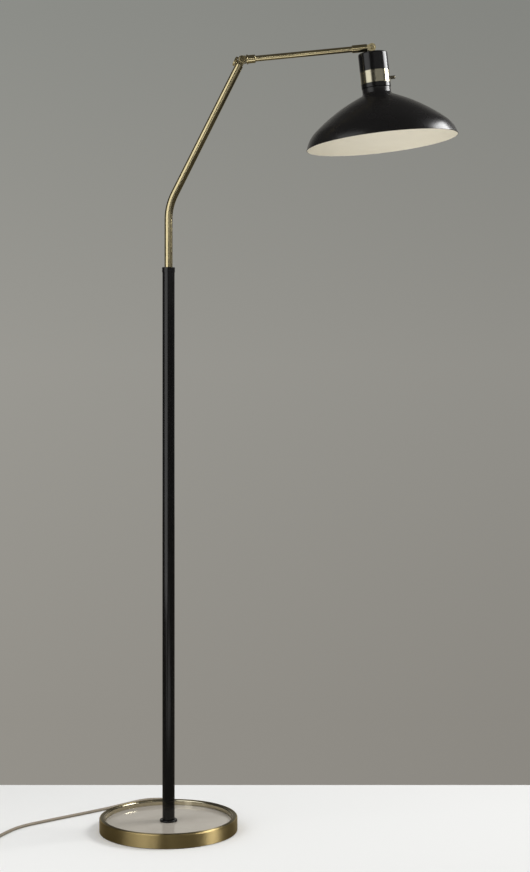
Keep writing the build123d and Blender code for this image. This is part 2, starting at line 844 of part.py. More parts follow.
with BuildPart() as lamp_holder:
    with BuildSketch(head_profile):
        with BuildLine():
            Polyline(
                (stem_radius + slip, -holder_top),
                (holder_radius, -holder_top),
                (holder_radius, holder_flange_thickness - housing_end),
                (flange_radius, holder_flange_thickness - housing_end),
                (flange_radius, -housing_end),
                (holder_radius, -housing_end),
                (holder_radius, -holder_end),
                (holder_bore, -holder_end),
                (holder_bore, -holder_floor),
                (lead_hole, -holder_floor),
                (lead_hole, -stem_seat),
                (stem_radius + slip, -stem_seat),
                close=True,
            )
        make_face()
    revolve(axis=head_axis)

with BuildPart() as screw_shell:
    with BuildSketch(head.offset(-shell_end)):
        Circle(shell_bore + shell_wall)
        Circle(shell_bore, mode=Mode.SUBTRACT)
    extrude(amount=shell_end - shell_start)

with BuildPart() as centre_contact:
    with BuildSketch(head.offset(-holder_floor - contact_thickness)):
        Circle(contact_radius)
    extrude(amount=contact_thickness)

# Bulb
bulb_tip = holder_floor + contact_thickness + bulb_tip_gap
neck_turn = radians(bulb_neck_angle)
bulb_neck_curve = (bulb_radius * cos(neck_turn) - bulb_cap_radius) / (1 - cos(neck_turn))
bulb_join = shell_end + bulb_neck_curve * sin(neck_turn)
bulb_centre = bulb_join + bulb_radius * sin(neck_turn)

with BuildPart() as bulb_base:
    with BuildSketch(head_profile):
        with BuildLine():
            Polyline(
                (0, -bulb_tip),
                (bulb_tip_radius, -bulb_tip),
                (bulb_cap_radius, -bulb_tip - bulb_tip_height),
                (bulb_cap_radius, -shell_end),
                (0, -shell_end),
                close=True,
            )
        make_face()
    revolve(axis=head_axis)

with BuildPart() as bulb_glass:
    with BuildSketch(head_profile):
        with BuildLine():
            throat = TangentArc(
                (bulb_cap_radius, -shell_end),
                (bulb_radius * cos(neck_turn), -bulb_join),
                tangent=(0, -1),
            )
            ThreePointArc(
                throat @ 1,
                (bulb_radius, -bulb_centre),
                (0, -bulb_centre - bulb_radius),
            )
            offset(amount=bulb_wall, side=Side.RIGHT)
        make_face()
    revolve(axis=head_axis)

# Rotary switch inside the housing, with its neck through the band
switch_start = holder_radius + switch_gap
switch_end = sqrt(housing_bore**2 - (switch_width / 2) ** 2) - switch_gap
switch_shaft_start = switch_start + switch_shaft_floor
shaft_radius = switch_shaft_diameter / 2

with BuildPart() as switch_body:
    with BuildSketch(switch_plane.offset(switch_start)):
        Rectangle(switch_width, switch_width)
    extrude(amount=switch_end - switch_start)
    with BuildSketch(switch_plane.offset(switch_start)):
        Circle(switch_neck_diameter / 2)
    extrude(amount=band_radius - switch_start)
    with BuildSketch(switch_plane.offset(switch_shaft_start - flat_gap)):
        Circle(shaft_radius + running)
    extrude(amount=band_radius, mode=Mode.SUBTRACT)

# Fluted switch knob on its shaft
switch_knob_face = band_radius + switch_knob_gap
switch_knob_radius = switch_knob_diameter / 2

with BuildPart() as switch_knob:
    with BuildSketch(switch_plane.offset(switch_knob_face)):
        Circle(switch_knob_radius)
    extrude(amount=switch_knob_length)
    knob_end = switch_knob.edges().filter_by(GeomType.CIRCLE).sort_by(Axis(switch_centre, head.x_dir))[-1]
    fillet(knob_end, radius=switch_knob_round)
    with BuildSketch(switch_plane.offset(switch_knob_face)):
        with PolarLocations(switch_knob_radius, switch_knob_flutes):
            Circle(switch_flute_radius)
    extrude(amount=switch_knob_length, mode=Mode.SUBTRACT)
    with BuildSketch(switch_plane.offset(switch_knob_face)):
        Circle(shaft_radius + slip)
    extrude(amount=switch_shaft_seat, mode=Mode.SUBTRACT)

with BuildPart() as switch_shaft:
    with BuildSketch(switch_plane.offset(switch_shaft_start)):
        Circle(shaft_radius)
    extrude(amount=switch_knob_face + switch_shaft_seat - switch_shaft_start)

# Tapered strain relief at the back of the base
skirt_bore = base_radius - pan_wall
bushing_seat = sqrt(skirt_bore**2 - bushing_inner_radius**2) - slip
bushing_tip = base_radius + bushing_length
bushing_tip_radius = cord_radius + bushing_tip_wall
bushing_root_radius = bushing_neck_radius + bushing_root_step
bushing_flange_radius = bushing_neck_radius + bushing_flange_step
exit_plane = Plane(origin=(0, 0, exit_height), x_dir=(1, 0, 0), z_dir=(0, 0, 1))

with BuildPart() as cord_bushing:
    with BuildSketch(exit_plane):
        with BuildLine():
            Polyline(
                (cord_radius + slip, bushing_seat - bushing_inner_thickness),
                (bushing_inner_radius, bushing_seat - bushing_inner_thickness),
                (bushing_inner_radius, bushing_seat),
                (bushing_neck_radius, bushing_seat),
                (bushing_neck_radius, base_radius),
                (bushing_flange_radius, base_radius),
                (bushing_flange_radius, base_radius + bushing_flange_thickness),
                (bushing_root_radius, base_radius + bushing_flange_thickness),
                (bushing_tip_radius, bushing_tip),
                (cord_radius + slip, bushing_tip),
                close=True,
            )
        make_face()
    revolve(axis=Axis((0, 0, exit_height), (0, 1, 0)))

# End of the cord that the base holds
with BuildPart() as cord_inner:
    with BuildSketch(Plane(origin=(0, cord_inner_start, exit_height), z_dir=(0, 1, 0))):
        Circle(cord_radius)
    extrude(amount=bushing_tip - cord_inner_start)

# Leads inside the base, the pole and the arms
lead_run = weight_bore / 2
lead_top = pole_top - bush_length + bush_floor - lead_inset
lead_corners = [
    (0, cord_inner_start, exit_height),
    (0, (cord_inner_start + lead_run) / 2, exit_height),
    (0, lead_run, lead_height),
    (0, 0, lead_height),
    (0, 0, lead_top),
]

with BuildPart() as lead_stand:
    with BuildLine():
        FilletPolyline(*lead_corners, radius=[lead_run, lead_run, lead_bend])
    with BuildSketch(Plane(origin=lead_corners[0], z_dir=(0, -1, 0))):
        Circle(lead_radius)
    sweep()

with BuildPart() as lead_lower_arm:
    with BuildLine():
        FilletPolyline(
            (0, 0, arm_foot + lead_inset),
            bend_corner,
            arm_tube_end + lower_dir * lead_inset,
            radius=bend_radius,
        )
    with BuildSketch(Plane.XY.offset(arm_foot + lead_inset)):
        Circle(lead_radius)
    sweep()

with BuildPart() as lead_upper_arm:
    with BuildSketch(elbow_socket.offset(elbow_root + lead_inset)):
        Circle(lead_radius)
    extrude(amount=upper_arm_length - head_root - elbow_root - 2 * lead_inset)

with BuildPart() as lead_head:
    with BuildSketch(head.offset(-stem_length)):
        Circle(lead_radius)
    extrude(amount=stem_length - housing_roof)


bend_share = 0.45  # of a corner's shorter run that its arc may take


def bend_radii(points):
    """One radius for each corner, as large as its two runs allow."""
    radii = []
    for before, corner, after in zip(points, points[1:], points[2:]):
        first = Vector(corner) - Vector(before)
        second = Vector(after) - Vector(corner)
        half_turn = radians(first.get_angle(second)) / 2
        radii.append(bend_share * min(first.length, second.length) / tan(half_turn))
    return radii


# Free stretch of the cord: out of the bushing, round behind the base and away to the left
coil_entry = coil_x + coil_radius
coil_lift = coil_floor_gap + tie_thickness + tie_gap + cord_radius
cord_bed = cord_radius + cord_floor_gap
cord_route = [
    (0, bushing_tip, exit_height),
    (0, 190, exit_height),
    (-12, 219, cord_bed + 3.0),
    (-36, 236, cord_bed + 0.4),
    (-66, 231, cord_bed),
    (-94, 206, cord_bed),
    (-134, 163, cord_bed),
    (-196, 109, cord_bed),
    (-258, 57, cord_bed),
    (-306, 13, cord_bed),
    (-331, -44, cord_bed),
    (-340.5, -78, cord_bed + 0.6),
    (coil_entry, coil_y + coil_lead_in, coil_lift),
    (coil_entry, coil_y + cord_diameter, coil_lift),
]
cord_radii = bend_radii(cord_route)

with BuildPart() as power_cord:
    with BuildLine() as cord_line:
        FilletPolyline(*cord_route, radius=cord_radii)
    with BuildSketch(Plane(origin=cord_route[0], z_dir=(0, 1, 0))):
        Circle(cord_radius)
    sweep()

# Coil: a spiral in, a climb of half a turn and a spiral out on top
coil_pitch = cord_diameter + turn_gap
half_pitch = coil_pitch / 2
coil_top = coil_lift + coil_pitch


def half_turns(start_x, z, first_radius, step):
    """Start, crest and end of each half turn of one layer, the first one to the left along the front."""
    turns = []
    x = start_x
    for index in range(coil_half_turns):
        radius = first_radius + index * step
        side = 1 if index % 2 == 0 else -1
        centre = x - side * radius
        end_x = centre - side * radius
        turns.append(((x, coil_y, z), (centre, coil_y - side * radius, z), (end_x, coil_y, z)))
        x = end_x
    return turns


inner_radius = coil_radius - (coil_half_turns - 1) * half_pitch
climb_radius = inner_radius - half_pitch
crest_radius = sqrt(climb_radius**2 + half_pitch**2)
turns_in = half_turns(coil_entry, coil_lift, coil_radius, -half_pitch)
climb_start = turns_in[-1][2]
climb_crest = (climb_start[0] + climb_radius, coil_y + crest_radius, coil_lift + half_pitch)
climb_end = (climb_start[0] + 2 * climb_radius, coil_y, coil_top)
turns_out = half_turns(climb_end[0], coil_top, inner_radius, half_pitch)
coil_exit = turns_out[-1][2]

with BuildPart() as cord_coil:
    with BuildLine() as coil_line:
        Line((coil_entry, coil_y + cord_diameter, coil_lift), turns_in[0][0])
        for turn in turns_in:
            ThreePointArc(*turn)
        TangentArc(climb_start, climb_crest, tangent=(0, 1, 0))
        TangentArc(climb_end, climb_crest, tangent=(0, 1, 0))
        for turn in turns_out:
            ThreePointArc(*turn)
        Line(coil_exit, (coil_exit[0], coil_y + cord_diameter, coil_top))
    with BuildSketch(Plane(origin=(coil_entry, coil_y + cord_diameter, coil_lift), z_dir=(0, -1, 0))):
        Circle(cord_radius)
    sweep()

# Tail of the cord, from the coil down to the plug
plug_level = plug_height / 2 + plug_lift
tail_start = coil_y + cord_diameter
tail_end = tail_start + tail_length
tail_route = [
    (coil_exit[0], tail_start, coil_top),
    (coil_exit[0], tail_start + tail_level, coil_top),
    (coil_exit[0], tail_start + tail_level + tail_fall, plug_level),
    (coil_exit[0], tail_end, plug_level),
]

with BuildPart() as cord_tail:
    with BuildLine() as tail_line:
        FilletPolyline(*tail_route, radius=bend_radii(tail_route))
    with BuildSketch(Plane(origin=tail_route[0], z_dir=(0, 1, 0))):
        Circle(cord_radius)
    sweep()

# Strap round the coil's front
tie_low = coil_lift - cord_radius - tie_gap
tie_high = coil_top + cord_radius + tie_gap
tie_outer = coil_radius + cord_radius + tie_slack
tie_inner = inner_radius - cord_radius - tie_slack
tie_centre = (coil_y - (tie_outer + tie_inner) / 2, (tie_low + tie_high) / 2)

with BuildPart() as cord_tie:
    with BuildSketch(Plane.YZ.offset(coil_x - half_pitch)):
        with Locations(tie_centre):
            RectangleRounded(
                tie_outer - tie_inner + 2 * tie_thickness,
                tie_high - tie_low + 2 * tie_thickness,
                cord_radius,
            )
            Rectangle(tie_outer - tie_inner, tie_high - tie_low, mode=Mode.SUBTRACT)
    extrude(amount=tie_width / 2, both=True)

# Plug with its two flat blades
plug_plane = Plane(origin=(coil_exit[0], tail_end, plug_level), x_dir=(1, 0, 0), z_dir=(0, 1, 0))
plug_face = plug_neck_length + plug_body_length

with BuildPart() as plug_blades:
    with BuildSketch(plug_plane.offset(plug_face - blade_seat)):
        with GridLocations(blade_spacing, 0, 2, 1):
            Rectangle(blade_thickness, blade_height)
    extrude(amount=blade_seat + blade_length)

with BuildPart() as plug_body:
    with BuildSketch(plug_plane):
        Circle(cord_radius + plug_neck_wall)
    with BuildSketch(plug_plane.offset(plug_neck_length)):
        Circle(plug_neck_root)
    loft()
    with BuildSketch(plug_plane.offset(plug_neck_length)):
        RectangleRounded(plug_width, plug_height, plug_round)
    extrude(amount=plug_body_length)
    with BuildSketch(plug_plane.offset(plug_face - blade_seat)):
        with GridLocations(blade_spacing, 0, 2, 1):
            Rectangle(blade_thickness, blade_height)
    extrude(amount=blade_seat, mode=Mode.SUBTRACT)

# Lengths, radii and gaps of the cord
coil_steps = 1200
coil_samples = [coil_line.wire().position_at(i / coil_steps) for i in range(coil_steps + 1)]
near = round(3 * cord_diameter / coil_line.wire().length * coil_steps)
coil_gap = min(
    (a - b).length
    for i, a in enumerate(coil_samples)
    for b in coil_samples[i + near:]
) - cord_diameter
print("cord radii", [round(radius, 1) for radius in cord_radii])
for name, piece, line in (
    ("power_cord", power_cord, cord_line),
    ("cord_coil", cord_coil, coil_line),
    ("cord_tail", cord_tail, tail_line),
):
    length = line.wire().length
    swept = piece.part.volume / (pi * cord_radius**2 * length)
    print(name, "length", round(length, 1), "volume over section times length", round(swept, 4))
print("coil's least gap to itself", round(coil_gap, 2))

# One file for each piece
pieces = {
    "base_pad": base_pad,
    "base_plate": base_plate,
    "plate_screws": plate_screws,
    "base_weight": base_weight,
    "base_pan": base_pan,
    "base_inlay": base_inlay,
    "lamp_pipe": lamp_pipe,
    "pipe_washer": pipe_washer,
    "pipe_nut": pipe_nut,
    "pole_flange": pole_flange,
    "pole_insert": pole_insert,
    "pole_tube": pole_tube,
    "pole_cap": pole_cap,
    "swivel_bush": swivel_bush,
    "lower_arm_tube": lower_arm_tube,
    "elbow_clamp": elbow_clamp,
    "clamp_knob": clamp_knob,
    "clamp_screw": clamp_screw,
    "elbow_fork": elbow_fork,
    "elbow_pin": elbow_pin,
    "elbow_nut": elbow_nut,
    "elbow_washers": elbow_washers,
    "upper_arm_tube": upper_arm_tube,
    "head_fork": head_fork,
    "head_pin": head_pin,
    "head_nut": head_nut,
    "head_washers": head_washers,
    "head_tang": head_tang,
    "tang_nut": tang_nut,
    "housing_cup": housing_cup,
    "brass_band": brass_band,
    "lip_ring": lip_ring,
    "shade": shade,
    "shade_ring": shade_ring,
    "lamp_holder": lamp_holder,
    "screw_shell": screw_shell,
    "centre_contact": centre_contact,
    "bulb_base": bulb_base,
    "bulb_glass": bulb_glass,
    "switch_body": switch_body,
    "switch_knob": switch_knob,
    "switch_shaft": switch_shaft,
    "cord_bushing": cord_bushing,
    "cord_inner": cord_inner,
    "lead_stand": lead_stand,
    "lead_lower_arm": lead_lower_arm,
    "lead_upper_arm": lead_upper_arm,
    "lead_head": lead_head,
    "power_cord": power_cord,
    "cord_coil": cord_coil,
    "cord_tail": cord_tail,
    "cord_tie": cord_tie,
    "plug_body": plug_body,
    "plug_blades": plug_blades,
}
for name, piece in pieces.items():
    piece.part.label = name
    export_step(piece.part, f"parts/{name}.step")
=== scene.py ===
import json
import math

import bmesh
import bpy
from mathutils import Matrix, Vector


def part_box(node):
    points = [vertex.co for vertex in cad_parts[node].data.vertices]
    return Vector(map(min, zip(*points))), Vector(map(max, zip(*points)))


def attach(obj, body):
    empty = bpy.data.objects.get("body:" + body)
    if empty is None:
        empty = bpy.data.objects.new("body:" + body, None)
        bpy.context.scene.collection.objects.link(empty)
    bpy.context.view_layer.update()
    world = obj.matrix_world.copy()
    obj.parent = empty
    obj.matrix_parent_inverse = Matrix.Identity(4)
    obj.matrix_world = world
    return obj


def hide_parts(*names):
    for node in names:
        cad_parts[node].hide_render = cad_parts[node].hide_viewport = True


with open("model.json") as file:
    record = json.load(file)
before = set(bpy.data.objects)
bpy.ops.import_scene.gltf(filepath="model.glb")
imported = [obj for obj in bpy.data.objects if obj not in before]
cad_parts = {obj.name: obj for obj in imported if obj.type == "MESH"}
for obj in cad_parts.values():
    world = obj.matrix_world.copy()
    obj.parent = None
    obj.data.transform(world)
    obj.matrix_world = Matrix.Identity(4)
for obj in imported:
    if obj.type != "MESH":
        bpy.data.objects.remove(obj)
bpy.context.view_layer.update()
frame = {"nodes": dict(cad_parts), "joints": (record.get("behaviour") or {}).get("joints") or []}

# Task floor lamp: the finishes of its metal, paint, stone and glass, its mains lead with plug and
# strain relief, its bell shade and its bulb. Metres, in the frame's own axes.

joints = {joint["name"]: joint for joint in frame["joints"]}
mm = 0.001

# Camera: level, looking along +Y, framed by a shift
picture_height = 872
focal_pixels = 1639
horizon_row = 386
sensor_size = 36
camera_place = (0.196, -3.33, 0.902)

camera = bpy.data.objects.new("camera", bpy.data.cameras.new("camera"))
bpy.context.scene.collection.objects.link(camera)
bpy.context.scene.camera = camera
camera.location = camera_place
camera.rotation_euler = (math.radians(90), 0, 0)
camera.data.sensor_width = sensor_size
camera.data.lens = sensor_size * focal_pixels / picture_height
camera.data.shift_y = (horizon_row - picture_height / 2) / picture_height
bpy.context.scene.view_settings.view_transform = "Standard"

# Axes of the head: across to the switch, and up along the housing
head_across = Vector(joints["switch_turn"]["axis"]).normalized()
head_up = Vector((-head_across.z, 0, head_across.x))
cap_drop = 11.8 * mm
head_top = Vector(joints["head_tilt"]["pos_m"]) - head_up * cap_drop
head_place = Matrix.Translation(head_top) @ Matrix((head_across, (0, 1, 0), head_up)).transposed().to_4x4()
upper_dir = (Vector(joints["head_tilt"]["pos_m"]) - Vector(joints["elbow_tilt"]["pos_m"])).normalized()


# Node helpers

def add_node(owner, kind, **settings):
    """A new node of a material or world, with its settings."""
    node = owner.node_tree.nodes.new(kind)
    for name, value in settings.items():
        setattr(node, name, value)
    return node


def join(owner, output, entry):
    """A link from one node's socket to another's."""
    owner.node_tree.links.new(output, entry)


def plain_finish(name, colour, roughness, metallic=0.0):
    """A material with its shader's own values set, ready for its texture nodes."""
    finish = bpy.data.materials.new(name)
    finish.use_nodes = True
    shader = finish.node_tree.nodes["Principled BSDF"]
    shader.inputs["Base Color"].default_value = (*colour, 1)
    shader.inputs["Roughness"].default_value = roughness
    shader.inputs["Metallic"].default_value = metallic
    return finish, shader


def stretched(finish, vector, scale):
    """Coordinates times a scale along each axis."""
    stretch = add_node(finish, "ShaderNodeVectorMath", operation="MULTIPLY")
    stretch.inputs[1].default_value = scale
    join(finish, vector, stretch.inputs[0])
    return stretch.outputs["Vector"]


def piece_space(finish, place=None, scale=(1, 1, 1)):
    """Object coordinates, in a piece's own axes where its place is given, then stretched."""
    coordinates = add_node(finish, "ShaderNodeTexCoord").outputs["Object"]
    inverse = place.inverted() if place else Matrix()
    mapping = add_node(finish, "ShaderNodeMapping", vector_type="POINT")
    mapping.inputs["Location"].default_value = inverse.to_translation()
    mapping.inputs["Rotation"].default_value = inverse.to_euler()
    join(finish, coordinates, mapping.inputs["Vector"])
    return stretched(finish, mapping.outputs["Vector"], scale)


def ring_space(finish, place=None, scale=(1, 1)):
    """Radius and height round a piece's axis as coordinates, so that a noise read there runs in rings."""
    parts = add_node(finish, "ShaderNodeSeparateXYZ")
    join(finish, piece_space(finish, place), parts.inputs["Vector"])
    flat = add_node(finish, "ShaderNodeCombineXYZ")
    join(finish, parts.outputs["X"], flat.inputs["X"])
    join(finish, parts.outputs["Y"], flat.inputs["Y"])
    radius = add_node(finish, "ShaderNodeVectorMath", operation="LENGTH")
    join(finish, flat.outputs["Vector"], radius.inputs[0])
    rings = add_node(finish, "ShaderNodeCombineXYZ")
    join(finish, radius.outputs["Value"], rings.inputs["X"])
    join(finish, parts.outputs["Z"], rings.inputs["Y"])
    return stretched(finish, rings.outputs["Vector"], (*scale, 1))


def noise(finish, vector, scale, detail=3.0):
    """A noise's grey output."""
    texture = add_node(finish, "ShaderNodeTexNoise")
    texture.inputs["Scale"].default_value = scale
    texture.inputs["Detail"].default_value = detail
    join(finish, vector, texture.inputs["Vector"])
    return texture.outputs["Fac"]


def between(finish, factor, low, high, start=0.3, end=0.7):
    """A grey that runs from low to high while the factor runs from start to end."""
    scaled = add_node(finish, "ShaderNodeMapRange")
    for name, value in zip(("From Min", "From Max", "To Min", "To Max"), (start, end, low, high)):
        scaled.inputs[name].default_value = value
    join(finish, factor, scaled.inputs["Value"])
    return scaled.outputs["Result"]


def tints(finish, factor, first, second, start=0.3, end=0.7, middle=None):
    """A colour that runs from first to second, by way of a middle, as the factor runs from start to end."""
    ramp = add_node(finish, "ShaderNodeValToRGB")
    for element, position, colour in zip(ramp.color_ramp.elements, (start, end), (first, second)):
        element.position = position
        element.color = (*colour, 1)
    if middle:
        ramp.color_ramp.elements.new((start + end) / 2).color = (*middle, 1)
    join(finish, factor, ramp.inputs["Fac"])
    return ramp.outputs["Color"]


def blended(finish, factor, first, second):
    """One colour or grey where the factor is 0, the other where it is 1."""
    node = add_node(finish, "ShaderNodeMix", data_type="RGBA")
    for output, entry in ((factor, 0), (first, 6), (second, 7)):
        join(finish, output, node.inputs[entry])
    return node.outputs[2]


def relief(finish, shader, height, depth):
    """A bump of a real depth in metres."""
    node = add_node(finish, "ShaderNodeBump")
    node.inputs["Distance"].default_value = depth
    join(finish, height, node.inputs["Height"])
    join(finish, node.outputs["Normal"], shader.inputs["Normal"])


# Finishes

# One brass for the arms in a shaded and a lit copy: painted shade on the lower arm's parts, painted light on
# the upper arm's
tube_tone_painted_darker = (0.6, 0.512, 0.295)
arm_tone_painted_lighter = (0.88, 0.755, 0.445)
band_tone = (0.5, 0.465, 0.345)
dish_tone = (0.92, 0.72, 0.34)
dish_wall_painted_reflection = (0.66, 0.6, 0.44)  # inside the dish's lip, paled as a painted reflection of the inlay
# painted dark reflection on the top of the dish's lip
lip_painted_dark_reflection = (0.28, 0.23, 0.12)
knob_tone = (0.45, 0.41, 0.3)
dish_wall = 130.5 * mm
dish_lip = 138 * mm
dish_roughness = 0.46
dish_wall_gloss = (0.1, 0.16)
patina_scale = 16
patina_share = 0.86  # how dark the patina's clouds are
brush_scale = 2600
brush_along = 26
brush_depth = 0.001 * mm
black_colour = (0.004, 0.0038, 0.0038)
# the shade's black, painted lighter than the housing's as painted light
shade_colour_painted_lighter = (0.0085, 0.008, 0.008)


def antique_brass(name, colour, roughness, place=None, direction=None, brushing=0.0):
    """Lacquered antique brass: cloudy patina, fine brush lines round a place's axis or along a direction."""
    finish, shader = plain_finish(name, colour, roughness, metallic=1.0)
    if direction is None:
        lines = ring_space(finish, place, (brush_scale, brush_scale))
    else:
        turn = Vector(direction).to_track_quat("Z", "Y").to_matrix().to_4x4()
        lines = piece_space(finish, turn, (brush_scale, brush_scale, brush_along))
    patina = noise(finish, piece_space(finish), patina_scale, detail=5)
    worn = tuple(patina_share * part for part in colour)
    join(finish, tints(finish, patina, worn, colour, 0.35, 0.65), shader.inputs["Base Color"])
    streaks = noise(finish, lines, 1.0, detail=2)
    join(finish, between(finish, streaks, roughness - 0.03, roughness + 0.04), shader.inputs["Roughness"])
    relief(finish, shader, streaks, brush_depth)
    shader.inputs["Anisotropic"].default_value = brushing
    shader.inputs["Anisotropic Rotation"].default_value = 0.25
    return finish


def dished_brass():
    """The base's brass: brushed outside, with a painted dark reflection on its lip, and polished on the wall
    inside that, painted pale there as a reflection of the inlay.
    """
    finish = antique_brass("dish_brass", dish_tone, dish_roughness, brushing=1.0)
    shader = finish.node_tree.nodes["Principled BSDF"]
    parts = add_node(finish, "ShaderNodeSeparateXYZ")
    join(finish, ring_space(finish), parts.inputs["Vector"])
    outside = between(finish, parts.outputs["X"], 0, 1, dish_wall - 0.5 * mm, dish_wall + 0.5 * mm)
    beyond_lip = between(finish, parts.outputs["X"], 0, 1, dish_lip - mm, dish_lip + mm)
    # Painted reflections: pale on the wall inside the lip, dark on the lip's top
    painted_reflection_tones = tints(finish, outside, dish_wall_painted_reflection, lip_painted_dark_reflection, 0, 1)
    gloss = between(finish, noise(finish, piece_space(finish), patina_scale), *dish_wall_gloss)
    for name, factor, inner in (("Base Color", beyond_lip, painted_reflection_tones), ("Roughness", outside, gloss)):
        entry = shader.inputs[name]
        join(finish, blended(finish, factor, inner, entry.links[0].from_socket), entry)
    join(finish, outside, shader.inputs["Anisotropic"])
    return finish


def satin_paint(name, colour, roughness):
    """Sprayed paint: a fine orange peel and a gloss that is a little uneven."""
    finish, shader = plain_finish(name, colour, roughness)
    shader.inputs["Specular IOR Level"].default_value = 0.42
    sheen = noise(finish, piece_space(finish), 22)
    join(finish, between(finish, sheen, roughness - 0.03, roughness + 0.04), shader.inputs["Roughness"])
    relief(finish, shader, noise(finish, piece_space(finish), 900, detail=2), 0.01 * mm)
    return finish


def polished_stone():
    """Pale greige stone: faint clouds, fine grain, and a polish."""
    finish, shader = plain_finish("polished_stone", (0.47, 0.43, 0.37), 0.12)
    clouds = noise(finish, piece_space(finish), 14, detail=6)
    join(finish, tints(finish, clouds, (0.4, 0.365, 0.31), (0.5, 0.46, 0.4)), shader.inputs["Base Color"])
    grain = noise(finish, piece_space(finish), 420, detail=4)
    join(finish, between(finish, grain, 0.08, 0.16), shader.inputs["Roughness"])
    shader.inputs["Coat Weight"].default_value = 0.4
    shader.inputs["Coat Roughness"].default_value = 0.06
    return finish


def pressed_felt():
    """Black felt with its matted fibres."""
    finish, shader = plain_finish("pressed_felt", (0.03, 0.03, 0.03), 0.95)
    fibres = noise(finish, piece_space(finish, scale=(1, 1, 0.3)), 1400, detail=5)
    shadow, lint = (0.018, 0.018, 0.018), (0.05, 0.05, 0.05)
    join(finish, tints(finish, fibres, shadow, lint), shader.inputs["Base Color"])
    relief(finish, shader, fibres, 0.3 * mm)
    shader.inputs["Sheen Weight"].default_value = 0.3
    return finish


def bare_metal(name, colour, roughness, grain_scale):
    """Plated, turned or cast metal with its grain."""
    finish, shader = plain_finish(name, colour, roughness, metallic=1.0)
    grain = noise(finish, piece_space(finish), grain_scale, detail=4)
    dull = tuple(0.8 * part for part in colour)
    join(finish, tints(finish, grain, dull, colour), shader.inputs["Base Color"])
    join(finish, between(finish, grain, roughness - 0.06, roughness + 0.08), shader.inputs["Roughness"])
    relief(finish, shader, grain, 0.02 * mm)
    return finish


def moulded_plastic(name, colour, roughness):
    """Moulded plastic with a fine texture and a slight mottle."""
    finish, shader = plain_finish(name, colour, roughness)
    mottle = noise(finish, piece_space(finish), 60)
    dull = tuple(0.86 * part for part in colour)
    join(finish, tints(finish, mottle, dull, colour), shader.inputs["Base Color"])
    skin = noise(finish, piece_space(finish), 2400, detail=2)
    join(finish, between(finish, skin, roughness - 0.05, roughness + 0.05), shader.inputs["Roughness"])
    relief(finish, shader, skin, 0.01 * mm)
    return finish


def glazed_porcelain():
    """White porcelain: a glaze with faint specks."""
    finish, shader = plain_finish("glazed_porcelain", (0.78, 0.76, 0.7), 0.18)
    specks = noise(finish, piece_space(finish), 300, detail=5)
    join(finish, tints(finish, specks, (0.7, 0.68, 0.62), (0.8, 0.78, 0.72), 0.25, 0.45),
         shader.inputs["Base Color"])
    shader.inputs["Coat Weight"].default_value = 0.5
    return finish


def frosted_glass():
    """Inside-frosted glass of the bulb."""
    finish, shader = plain_finish("frosted_glass", (0.9, 0.89, 0.86), 0.35)
    frost = noise(finish, piece_space(finish), 1500, detail=3)
    join(finish, between(finish, frost, 0.3, 0.45), shader.inputs["Roughness"])
    relief(finish, shader, frost, 0.006 * mm)
    shader.inputs["Transmission Weight"].default_value = 0.25
    return finish


satin_black = satin_paint("satin_black", black_colour, 0.18)
# a lit copy of the black paint, rougher, as painted light on the shade
shade_black_painted_lighter = satin_paint("shade_black_painted_lighter", shade_colour_painted_lighter, 0.26)
cream_enamel = satin_paint("cream_enamel", (0.85, 0.795, 0.66), 0.42)
dish_brass = dished_brass()
# Shaded and lit copies of one brass, as painted shade and painted light
pole_brass_painted_darker = antique_brass("pole_brass_painted_darker", tube_tone_painted_darker, 0.19, direction=(0, 0, 1))
arm_brass_painted_lighter = antique_brass("arm_brass_painted_lighter", arm_tone_painted_lighter, 0.19, direction=upper_dir)
band_brass = antique_brass("band_brass", band_tone, 0.18, place=head_place)
zinc_steel = bare_metal("zinc_steel", (0.55, 0.55, 0.56), 0.35, 300)
cord_colour = (0.3, 0.255, 0.19)
lead_plastic = moulded_plastic("lead_plastic", (0.62, 0.6, 0.55), 0.5)
taupe_plastic = moulded_plastic("taupe_plastic", cord_colour, 0.42)
bright_brass = bare_metal("bright_brass", (0.66, 0.5, 0.25), 0.22, 200)
turned_alloy = bare_metal("turned_alloy", (0.68, 0.68, 0.7), 0.3, 260)
bush_plastic = moulded_plastic("bush_plastic", (0.52, 0.51, 0.47), 0.5)

